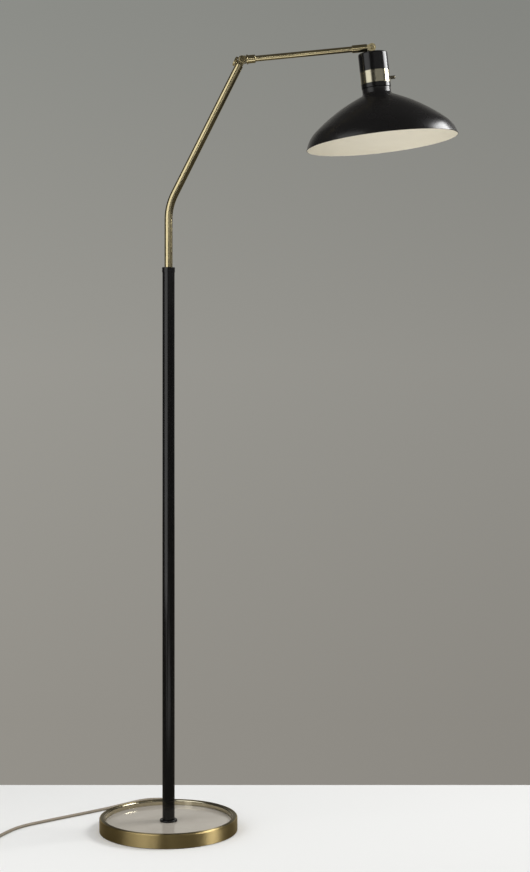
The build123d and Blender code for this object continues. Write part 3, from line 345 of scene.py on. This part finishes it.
finishes = {
    "base_pad": pressed_felt(),
    "base_plate": zinc_steel,
    "plate_screws": zinc_steel,
    "base_weight": bare_metal("rough_iron", (0.11, 0.11, 0.115), 0.7, 240),
    "base_pan": dish_brass,
    "base_inlay": polished_stone(),
    "lamp_pipe": zinc_steel,
    "pipe_washer": zinc_steel,
    "pipe_nut": zinc_steel,
    "pole_flange": satin_black,
    "pole_tube": satin_black,
    "pole_insert": turned_alloy,
    "pole_cap": satin_black,
    "swivel_bush": bush_plastic,
    "lower_arm_tube": pole_brass_painted_darker,
    "elbow_clamp": pole_brass_painted_darker,
    "clamp_knob": pole_brass_painted_darker,
    "clamp_screw": zinc_steel,
    "elbow_fork": arm_brass_painted_lighter,
    "elbow_pin": pole_brass_painted_darker,
    "elbow_nut": pole_brass_painted_darker,
    "elbow_washers": zinc_steel,
    "upper_arm_tube": arm_brass_painted_lighter,
    "head_fork": arm_brass_painted_lighter,
    "head_pin": pole_brass_painted_darker,
    "head_nut": pole_brass_painted_darker,
    "head_washers": zinc_steel,
    "head_tang": band_brass,
    "tang_nut": zinc_steel,
    "housing_cup": satin_black,
    "brass_band": band_brass,
    "lip_ring": satin_black,
    "shade_ring": turned_alloy,
    "lamp_holder": glazed_porcelain(),
    "screw_shell": bright_brass,
    "centre_contact": bright_brass,
    "switch_body": bush_plastic,
    "switch_knob": antique_brass("knob_brass", knob_tone, 0.4, place=head_place),
    "switch_shaft": zinc_steel,
    "cord_inner": taupe_plastic,
    "lead_stand": lead_plastic,
    "lead_lower_arm": lead_plastic,
    "lead_upper_arm": lead_plastic,
    "lead_head": lead_plastic,
    "plug_blades": bright_brass,
}
for node_name, finish in finishes.items():
    for material_slot in frame["nodes"][node_name].material_slots:
        material_slot.material = finish


# Modelling helpers
smooth_limit = math.radians(35)  # a steeper edge stays sharp
merge_distance = 0.002 * mm


def fresh_start():
    """Object mode with nothing selected."""
    if bpy.context.mode != "OBJECT":
        bpy.ops.object.mode_set(mode="OBJECT")
    bpy.ops.object.select_all(action="DESELECT")


def settle(piece, name, place, finish):
    """Name a piece, put it in its place with the place in its mesh, and shade it."""
    fresh_start()
    piece.name = name
    piece.data.name = name
    piece.select_set(True)
    bpy.context.view_layer.objects.active = piece
    piece.matrix_world = place @ piece.matrix_world
    bpy.ops.object.transform_apply(location=True, rotation=True, scale=True)
    piece.data.materials.clear()
    piece.data.materials.append(finish)
    bpy.ops.object.shade_smooth_by_angle(angle=smooth_limit)


def give_wall(piece, thickness):
    """A wall that grows inwards from a piece's skin."""
    wall = piece.modifiers.new("wall", "SOLIDIFY")
    wall.thickness = thickness
    wall.offset = -1
    return wall


def finish_modifiers(piece):
    """Apply a piece's modifiers in their order, and shade it smooth up to its sharp edges."""
    fresh_start()
    piece.select_set(True)
    bpy.context.view_layer.objects.active = piece
    for name in [modifier.name for modifier in piece.modifiers]:
        bpy.ops.object.modifier_apply(modifier=name)
    bpy.ops.object.shade_smooth_by_angle(angle=smooth_limit)


def select_faces(piece, test):
    """In edit mode, select the faces that pass a test and nothing else."""
    bpy.ops.mesh.select_mode(type="FACE")
    mesh = bmesh.from_edit_mesh(piece.data)
    mesh.normal_update()
    chosen = [test(face) for face in mesh.faces]
    bpy.ops.mesh.select_all(action="DESELECT")
    mesh = bmesh.from_edit_mesh(piece.data)
    for face, wanted in zip(mesh.faces, chosen):
        face.select_set(wanted)
    bmesh.update_edit_mesh(piece.data)


def select_edges(piece, test):
    """In edit mode, select the edges that pass a test and nothing else."""
    bpy.ops.mesh.select_mode(type="EDGE")
    mesh = bmesh.from_edit_mesh(piece.data)
    chosen = [test(edge) for edge in mesh.edges]
    bpy.ops.mesh.select_all(action="DESELECT")
    mesh = bmesh.from_edit_mesh(piece.data)
    for edge, wanted in zip(mesh.edges, chosen):
        edge.select_set(wanted)
    bmesh.update_edit_mesh(piece.data)


def turn_rings(profile, segments, capped=False, closed=False):
    """Turn a profile of (radius, height) steps round Z: a circle, extruded and resized ring by ring."""
    fresh_start()
    radius, height = profile[0]
    bpy.ops.mesh.primitive_circle_add(
        vertices=segments, radius=radius, location=(0, 0, height), fill_type="NGON" if capped else "NOTHING"
    )
    piece = bpy.context.object
    bpy.ops.object.mode_set(mode="EDIT")
    bpy.ops.mesh.select_mode(type="EDGE")
    bpy.ops.mesh.select_all(action="SELECT")
    for next_radius, next_height in profile[1:] + (profile[:1] if closed else []):
        bpy.ops.mesh.extrude_edges_move(TRANSFORM_OT_translate={"value": (0, 0, next_height - height)})
        ratio = next_radius / radius
        bpy.ops.transform.resize(value=(ratio, ratio, 1), center_override=(0, 0, next_height))
        radius, height = next_radius, next_height
    if capped:
        bpy.ops.mesh.edge_face_add()
    bpy.ops.mesh.select_all(action="SELECT")
    bpy.ops.mesh.remove_doubles(threshold=merge_distance)
    bpy.ops.mesh.normals_make_consistent(inside=False)
    bpy.ops.object.mode_set(mode="OBJECT")
    return piece


def bulged(start, end, bulge, count):
    """Steps of an arc from start to end that stands a bulge to the left of its chord, without the start."""
    start, end = Vector(start), Vector(end)
    chord = end - start
    left = Vector((-chord.y, chord.x)).normalized()
    radius = (chord.length_squared / 4 + bulge**2) / (2 * abs(bulge))
    side = math.copysign(1, bulge)
    centre = (start + end) / 2 + left * (bulge - side * radius)
    turn = -side * 4 * math.atan(2 * abs(bulge) / chord.length)
    spoke = start - centre
    steps = []
    for index in range(1, count + 1):
        angle = turn * index / count
        steps.append(centre + Matrix.Rotation(angle, 2) @ spoke)
    return [(step.x, step.y) for step in steps]


# Mains lead: out of the base, away to the left, and the rest of it in a coil with the plug beside it
cord_diameter = 6 * mm
cord_exit = Vector((0, 168, 9.5)) * mm
cord_route = [  # millimetres
    (0, 168, 9.5),
    (0, 190, 9.5),
    (-12, 219, 6.2),
    (-36, 236, 3.6),
    (-66, 231, 3.2),
    (-94, 206, 3.2),
    (-134, 163, 3.2),
    (-196, 109, 3.2),
    (-258, 57, 3.2),
    (-306, 13, 3.2),
    (-331, -44, 3.2),
    (-340.5, -78, 3.8),
    (-343, -98, 4.6),
    (-343, -114, 4.6),
]
coil_start = (-343, -120)
coil_radius = 41
coil_inner_radius = 27.8
climb_radius = 24.5
coil_half_turns = 5
coil_step = 3.3
coil_low = 4.6
coil_high = 11.2
points_per_half_turn = 12
tail_route = [(-431.6, -114, 11.2), (-431.6, -102, 11.2), (-431.6, -80.4, 8.2), (-431.6, -66, 8.2)]


def coil_points():
    """Half turns that spiral in on the floor, climb a layer, and spiral out on top."""
    radii = [coil_radius - index * coil_step for index in range(coil_half_turns)]
    radii += [climb_radius]
    radii += [coil_inner_radius + index * coil_step for index in range(coil_half_turns)]
    widen = 1 / math.cos(math.pi / 2 / points_per_half_turn)
    x, middle = coil_start
    points = []
    for index, radius in enumerate(radii):
        side = 1 if index % 2 == 0 else -1
        centre = x - side * radius
        for step in range(points_per_half_turn):
            share = (step + 0.5) / points_per_half_turn
            if index == coil_half_turns:
                level = coil_low + (coil_high - coil_low) * share
            else:
                level = coil_low if index < coil_half_turns else coil_high
            along = side * radius * widen * math.cos(math.pi * share)
            across = side * radius * widen * math.sin(math.pi * share)
            points.append((centre + along, middle - across, level))
        x = centre - side * radius
    return points


def mains_cord():
    """One smooth curve through the route, the coil and the tail."""
    curve = bpy.data.curves.new("mains_cord", "CURVE")
    curve.dimensions = "3D"
    curve.bevel_depth = cord_diameter / 2
    curve.bevel_resolution = 6
    curve.resolution_u = 6
    curve.use_fill_caps = True
    spline = curve.splines.new("NURBS")
    points = cord_route + coil_points() + tail_route
    spline.points.add(len(points) - 1)
    for point, place in zip(spline.points, points):
        point.co = (*(Vector(place) * mm), 1)
    spline.order_u = 3
    spline.use_endpoint_u = True
    piece = bpy.data.objects.new("mains_cord", curve)
    bpy.context.scene.collection.objects.link(piece)
    curve.materials.append(taupe_plastic)
    return piece


# Bell shade, black outside and cream inside
web_radius = 20.65 * mm
neck_radius = 29 * mm
web_depth = 71.5 * mm
neck_depth = 85.3 * mm
bell_corner = (134.5 * mm, 150 * mm)
rim_edge = (154.5 * mm, 183 * mm)
bell_bulge = 5.2 * mm
rim_bulge = 2.995 * mm
neck_flare = 3.36 * mm  # how far the neck's curve reaches along its two sides
flare_share = 0.9  # of that reach, past which the bell's own curve goes on
neck_bulge = 0.85 * mm
shade_wall = 1 * mm
shade_segments = 160
bell_steps = 40
rim_steps = 18
flare_steps = 8


def bell_shade():
    """The outer skin, turned ring by ring, then given its wall and its cream inside."""
    bell = bulged((neck_radius, neck_depth), bell_corner, -bell_bulge, bell_steps)
    rim = bulged(bell_corner, rim_edge, -rim_bulge, rim_steps)
    flare_start = (neck_radius, neck_depth - neck_flare)
    below_flare = [step for step in bell if step[0] > neck_radius + flare_share * neck_flare]
    flare = bulged(flare_start, below_flare[0], neck_bulge, flare_steps)
    outline = [(web_radius, web_depth), (neck_radius - mm, web_depth), (neck_radius, web_depth + mm)]
    outline += [flare_start] + flare + below_flare[1:] + rim
    piece = turn_rings([(radius, -depth) for radius, depth in outline], shade_segments)
    settle(piece, "bell_shade", head_place, shade_black_painted_lighter)
    piece.data.materials.append(cream_enamel)
    wall = give_wall(piece, shade_wall)
    wall.use_even_offset = True
    wall.material_offset = 1
    finish_modifiers(piece)
    return piece


# Bulb in its holder
cap_radius = 13.15 * mm
cap_tip_radius = 4.5 * mm
cap_tip_depth = 41.4 * mm
cap_start = 46.4 * mm
cap_end = 72 * mm
thread_pitch = 3.63 * mm
thread_depth = 0.8 * mm
thread_steps = 8
bulb_join = (24.57 * mm, 108.23 * mm)
bulb_bottom = 155.44 * mm
throat_bulge = 2.92 * mm
globe_bulge = 16.15 * mm
bulb_wall = 1 * mm
throat_steps = 14
globe_steps = 36
bulb_segments = 96
cap_segments = 64


def frosted_bulb():
    """A globe that flows into its throat."""
    outline = [(cap_radius, cap_end)]
    outline += bulged(outline[0], bulb_join, throat_bulge, throat_steps)
    outline += bulged(bulb_join, (0, bulb_bottom), -globe_bulge, globe_steps)
    piece = turn_rings([(radius, -depth) for radius, depth in outline], bulb_segments)
    settle(piece, "frosted_bulb", head_place, frosted_glass())
    give_wall(piece, bulb_wall)
    finish_modifiers(piece)
    return piece


def threaded_cap():
    """The bulb's cap with its rolled thread."""
    outline = [(cap_tip_radius, cap_tip_depth), (cap_radius - thread_depth, cap_start)]
    turns = int((cap_end - cap_start) / thread_pitch) - 1
    for index in range(turns * thread_steps + 1):
        wave = (1 - math.cos(2 * math.pi * index / thread_steps)) / 2
        depth = cap_start + thread_pitch * (0.5 + index / thread_steps)
        outline.append((cap_radius - thread_depth * (1 - wave), depth))
    outline += [(cap_radius - thread_depth, cap_end - 2 * mm)]
    outline += [(cap_radius, cap_end - mm), (cap_radius, cap_end)]
    piece = turn_rings([(radius, -depth) for radius, depth in outline], cap_segments, capped=True)
    settle(piece, "threaded_cap", head_place, bare_metal("bulb_alloy", (0.68, 0.68, 0.7), 0.24, 300))
    return piece


# Strain relief at the back of the base, along +Y
along_y = Matrix.Rotation(math.radians(-90), 4, "X")
exit_height = cord_exit.z
relief_bore = 3.05 * mm
relief_lip = (5.2 * mm, 136.05 * mm, 137.85 * mm)
relief_neck = 4.2 * mm
relief_flange = (6.5 * mm, 140 * mm, 142.5 * mm)
relief_root = 6 * mm
relief_tip = (4.4 * mm, 168 * mm)
relief_ribs = 6
relief_groove = 0.7 * mm
soft_edge = 0.3 * mm
neck_segments = 48


def ribs(start_radius, end_radius, start, end, count, groove):
    """Steps of a ribbed taper: each rib has a flat top and a groove behind it."""
    steps = []
    pitch = (end - start) / count
    for index in range(count):
        for share, drop in ((0.05, 0), (0.5, 0), (0.6, groove), (0.9, groove)):
            along = (index + share) / count
            radius = start_radius + (end_radius - start_radius) * along
            steps.append((radius - drop, start + pitch * (index + share)))
    return steps


def strain_relief():
    """Inner lip, neck through the wall, flange and a ribbed taper round the cord."""
    lip_radius, lip_start, lip_end = relief_lip
    flange_radius, flange_start, flange_end = relief_flange
    tip_radius, tip = relief_tip
    outline = [(relief_bore, lip_start), (lip_radius, lip_start)]
    outline += [(lip_radius, lip_end), (relief_neck, lip_end)]
    outline += [(relief_neck, flange_start), (flange_radius - soft_edge, flange_start)]
    outline += [(flange_radius, flange_start + soft_edge), (flange_radius, flange_end - soft_edge)]
    outline += [(flange_radius - soft_edge, flange_end), (relief_root, flange_end)]
    outline += ribs(relief_root, tip_radius, flange_end, tip - mm, relief_ribs, relief_groove)
    outline += [(tip_radius, tip - mm), (tip_radius, tip - soft_edge), (tip_radius - soft_edge, tip)]
    outline += [(relief_bore, tip)]
    piece = turn_rings(outline, neck_segments, closed=True)
    settle(piece, "strain_relief", Matrix.Translation((0, 0, exit_height)) @ along_y, taupe_plastic)
    return piece


# Plug with a ribbed neck and finger grips
plug_axis = Vector((-431.6, -66, 8.2)) * mm
plug_neck = 20 * mm
plug_size = Vector((26, 26, 16)) * mm
plug_corner = 4 * mm
plug_neck_tip = 4.4 * mm
plug_neck_root = 6.5 * mm
plug_edge = 0.8 * mm
plug_ribs = 5
plug_groove = 0.8 * mm
grip_margin = 2 * mm
grip_slope = 0.8 * mm
grip_sink = 1.2 * mm


def plug_moulding():
    """A rounded body with sunk finger grips, joined to its ribbed neck."""
    fresh_start()
    middle = plug_axis + Vector((0, plug_neck + plug_size.y / 2, 0))
    bpy.ops.mesh.primitive_cube_add(size=1, location=middle, scale=plug_size)
    body = bpy.context.object
    bpy.ops.object.transform_apply(location=True, rotation=True, scale=True)
    bpy.ops.object.mode_set(mode="EDIT")
    select_edges(body, lambda edge: abs((edge.verts[0].co - edge.verts[1].co).normalized().y) > 0.9)
    bpy.ops.mesh.bevel(offset=plug_corner, segments=6)
    select_faces(body, lambda face: max(abs(face.normal.x), abs(face.normal.z)) > 0.999)
    bpy.ops.mesh.inset(thickness=grip_margin, use_individual=True)
    bpy.ops.mesh.inset(thickness=grip_slope, use_individual=True)
    bpy.ops.transform.shrink_fatten(value=-grip_sink)
    select_edges(body, lambda edge: edge.calc_face_angle(0) > math.radians(80))
    bpy.ops.mesh.bevel(offset=plug_edge, segments=3)
    bpy.ops.object.mode_set(mode="OBJECT")
    outline = [(cord_diameter / 2, 0)]
    outline += [(plug_neck_tip - soft_edge, 0), (plug_neck_tip, soft_edge)]
    outline += ribs(plug_neck_tip, plug_neck_root, soft_edge, plug_neck, plug_ribs, plug_groove)
    outline += [(plug_neck_root, plug_neck), (plug_neck_root, plug_neck + mm)]
    neck = turn_rings(outline, neck_segments, capped=True)
    settle(neck, "plug_neck", Matrix.Translation(plug_axis) @ along_y, taupe_plastic)
    fresh_start()
    neck.select_set(True)
    body.select_set(True)
    bpy.context.view_layer.objects.active = body
    bpy.ops.object.join()
    settle(body, "plug_moulding", Matrix(), taupe_plastic)
    return body


# Strap round the coil
strap_wall = 1.2 * mm
strap_corner = 3 * mm
strap_edge = 0.25 * mm


def coil_strap():
    """A band with rounded corners round the coil's front."""
    low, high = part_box("cord_tie")
    fresh_start()
    bpy.ops.mesh.primitive_cube_add(size=1, location=(low + high) / 2, scale=high - low)
    strap = bpy.context.object
    bpy.ops.object.transform_apply(location=True, rotation=True, scale=True)
    bpy.ops.object.mode_set(mode="EDIT")
    select_faces(strap, lambda face: abs(face.normal.x) > 0.9)
    bpy.ops.mesh.delete(type="ONLY_FACE")
    select_edges(strap, lambda edge: abs((edge.verts[0].co - edge.verts[1].co).normalized().x) > 0.9)
    bpy.ops.mesh.bevel(offset=strap_corner, segments=5)
    bpy.ops.object.mode_set(mode="OBJECT")
    settle(strap, "coil_strap", Matrix(), moulded_plastic("strap_weave", (0.03, 0.03, 0.03), 0.7))
    give_wall(strap, strap_wall)
    edge = strap.modifiers.new("edge", "BEVEL")
    edge.width = strap_edge
    edge.segments = 2
    edge.limit_method = "ANGLE"
    finish_modifiers(strap)
    return strap


def dress(piece, body, slot, *nodes):
    """A piece's body and the solids that it stands for; its slot is not used."""
    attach(piece, body)
    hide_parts(*nodes)
    return piece


cord = dress(mains_cord(), "stand", "cord_plastic", "power_cord", "cord_coil", "cord_tail")
strap = dress(coil_strap(), "stand", "tie_plastic", "cord_tie")
plug = dress(plug_moulding(), "stand", "cord_plastic", "plug_body")
dress(strain_relief(), "stand", "cord_plastic", "cord_bushing")
dress(bell_shade(), "head", "shade_paint", "shade")
dress(frosted_bulb(), "head", "frosted_glass", "bulb_glass")
dress(threaded_cap(), "head", "bulb_alloy", "bulb_base")

# Stage: a white floor, and a grey wall that only the camera in front of it sees
wall_distance = 0.375
stage_reach = 8
floor_colour = (0.81, 0.81, 0.796)
floor_dim = (0.1, 0.091, 0.07)  # what mirrors see of the floor
wall_colour = (0.322, 0.314, 0.287)
# painted shade of the wall: darker at its foot, its top and its right
wall_foot_painted_shade = (0.295, 0.281, 0.252)
wall_top_painted_shade = (0.264, 0.268, 0.248)
wall_heights = (0.15, 1.75)
wall_sides = (-0.4, 0.75)
wall_right_painted_shade = 0.88
mirror_behind = (0.7, 0.92)  # how straight behind the lamp a mirrored wall begins and is full
room_colour = (0.045, 0.043, 0.04)
room_light = 0.6


def stage_plane(name, place, size, tilt, finish):
    """A plane of the stage, its place and size in its mesh."""
    fresh_start()
    bpy.ops.mesh.primitive_plane_add(size=1, location=place, rotation=(math.radians(tilt), 0, 0))
    plane = bpy.context.object
    plane.name = name
    plane.scale = (*size, 1)
    bpy.ops.object.transform_apply(location=True, rotation=True, scale=True)
    plane.data.materials.append(finish)


def combined(owner, operation, first, second):
    """Two values put together by an operation, and held between 0 and 1."""
    node = add_node(owner, "ShaderNodeMath", operation=operation, use_clamp=True)
    join(owner, first, node.inputs[0])
    join(owner, second, node.inputs[1])
    return node.outputs["Value"]


def stage_material(name):
    """An empty material for the stage, with its output."""
    finish = bpy.data.materials.new(name)
    finish.use_nodes = True
    finish.node_tree.nodes.clear()
    return finish, add_node(finish, "ShaderNodeOutputMaterial")


def floor_finish():
    """White floor that takes the lamp's shadow, dim in mirrors, clear from below."""
    finish, output = stage_material("white_floor")
    path = add_node(finish, "ShaderNodeLightPath")
    surface = add_node(finish, "ShaderNodeBsdfDiffuse")
    shown = tints(finish, path.outputs["Is Glossy Ray"], floor_colour, floor_dim, 0, 1)
    join(finish, shown, surface.inputs["Color"])
    backfacing = add_node(finish, "ShaderNodeNewGeometry").outputs["Backfacing"]
    below = combined(finish, "MULTIPLY", path.outputs["Is Camera Ray"], backfacing)
    mixed = add_node(finish, "ShaderNodeMixShader")
    join(finish, below, mixed.inputs["Fac"])
    join(finish, surface.outputs["BSDF"], mixed.inputs[1])
    join(finish, add_node(finish, "ShaderNodeBsdfTransparent").outputs["BSDF"], mixed.inputs[2])
    join(finish, mixed.outputs["Shader"], output.inputs["Surface"])
    return finish


def wall_finish():
    """Grey wall with painted shade, darker at top, bottom and right, shown to the camera in front and clear
    to the rest.
    """
    finish, output = stage_material("grey_wall")
    parts = add_node(finish, "ShaderNodeSeparateXYZ")
    join(finish, add_node(finish, "ShaderNodeTexCoord").outputs["Object"], parts.inputs["Vector"])
    upwards = between(finish, parts.outputs["Z"], 0, 1, *wall_heights)
    glow = add_node(finish, "ShaderNodeEmission")
    join(finish, tints(finish, upwards, wall_foot_painted_shade, wall_top_painted_shade, 0, 1, wall_colour), glow.inputs["Color"])
    strength = between(finish, parts.outputs["X"], 1, wall_right_painted_shade, *wall_sides)
    join(finish, strength, glow.inputs["Strength"])
    camera_ray = add_node(finish, "ShaderNodeLightPath").outputs["Is Camera Ray"]
    backfacing = add_node(finish, "ShaderNodeNewGeometry").outputs["Backfacing"]
    mixed = add_node(finish, "ShaderNodeMixShader")
    join(finish, combined(finish, "SUBTRACT", camera_ray, backfacing), mixed.inputs["Fac"])
    join(finish, add_node(finish, "ShaderNodeBsdfTransparent").outputs["BSDF"], mixed.inputs[1])
    join(finish, glow.outputs["Emission"], mixed.inputs[2])
    join(finish, mixed.outputs["Shader"], output.inputs["Surface"])
    return finish


def studio_world():
    """A plain grey room: soft light from all round, and dark for mirrors except straight behind the lamp."""
    world = bpy.data.worlds.new("studio")
    world.use_nodes = True
    bpy.context.scene.world = world
    world.node_tree.nodes.clear()
    path = add_node(world, "ShaderNodeLightPath")
    parts = add_node(world, "ShaderNodeSeparateXYZ")
    join(world, add_node(world, "ShaderNodeTexCoord").outputs["Generated"], parts.inputs["Vector"])
    behind = between(world, parts.outputs["Y"], 0, 1, *mirror_behind)
    lit = add_node(world, "ShaderNodeBackground")
    lit.inputs["Color"].default_value = (1, 1, 1, 1)
    lit.inputs["Strength"].default_value = room_light
    mirrored = add_node(world, "ShaderNodeBackground")
    join(world, tints(world, behind, room_colour, wall_colour, 0, 1), mirrored.inputs["Color"])
    plain = add_node(world, "ShaderNodeBackground")
    plain.inputs["Color"].default_value = (*wall_colour, 1)
    with_mirrors = add_node(world, "ShaderNodeMixShader")
    join(world, path.outputs["Is Glossy Ray"], with_mirrors.inputs["Fac"])
    join(world, lit.outputs["Background"], with_mirrors.inputs[1])
    join(world, mirrored.outputs["Background"], with_mirrors.inputs[2])
    with_camera = add_node(world, "ShaderNodeMixShader")
    seen = combined(world, "MAXIMUM", path.outputs["Is Camera Ray"], path.outputs["Is Transmission Ray"])
    join(world, seen, with_camera.inputs["Fac"])
    join(world, with_mirrors.outputs["Shader"], with_camera.inputs[1])
    join(world, plain.outputs["Background"], with_camera.inputs[2])
    output = add_node(world, "ShaderNodeOutputWorld")
    join(world, with_camera.outputs["Shader"], output.inputs["Surface"])


def softbox(name, place, target, size, power, lights=True):
    """A soft area lamp that faces a target, or a card that only shows in mirrors."""
    lamp = bpy.data.lights.new(name, "AREA")
    lamp.shape = "RECTANGLE"
    lamp.size, lamp.size_y = size
    lamp.energy = power
    light = bpy.data.objects.new(name, lamp)
    bpy.context.scene.collection.objects.link(light)
    light.location = place
    light.rotation_euler = (Vector(target) - Vector(place)).to_track_quat("-Z", "Y").to_euler()
    light.visible_camera = False
    light.visible_diffuse = lights


stage_plane("floor", (0, 0, 0), (2 * stage_reach, 2 * stage_reach), 0, floor_finish())
stage_plane("wall", (0, wall_distance, 0), (2 * stage_reach, 2 * stage_reach), 90, wall_finish())
studio_world()
softbox("left_softbox", place=(-0.63, -0.645, 1.31), target=(0, 0, 1.31), size=(1.0, 1.95), power=8.5)
softbox("right_softbox", place=(1.88, 0.34, 2.05), target=(0.42, 0, 1.56), size=(1.0, 0.95), power=36)
softbox("front_fill", place=(1.35, -1.75, 1.78), target=(0, 0, 1.78), size=(2.4, 1.05), power=2.2)
softbox("low_strip", place=(-0.53, -0.73, 0.21), target=(0, 0, 0.21), size=(0.22, 0.4), power=0.18,
        lights=False)
softbox("arm_strip", place=(0.32, -2.2, 1.58), target=(0.32, 0, 1.58), size=(0.4, 0.26), power=0.62,
        lights=False)
softbox("floor_card", place=(0.25, -1.45, 0.05), target=(0.25, -1.44, 1.5), size=(1.1, 1.5), power=3.8)
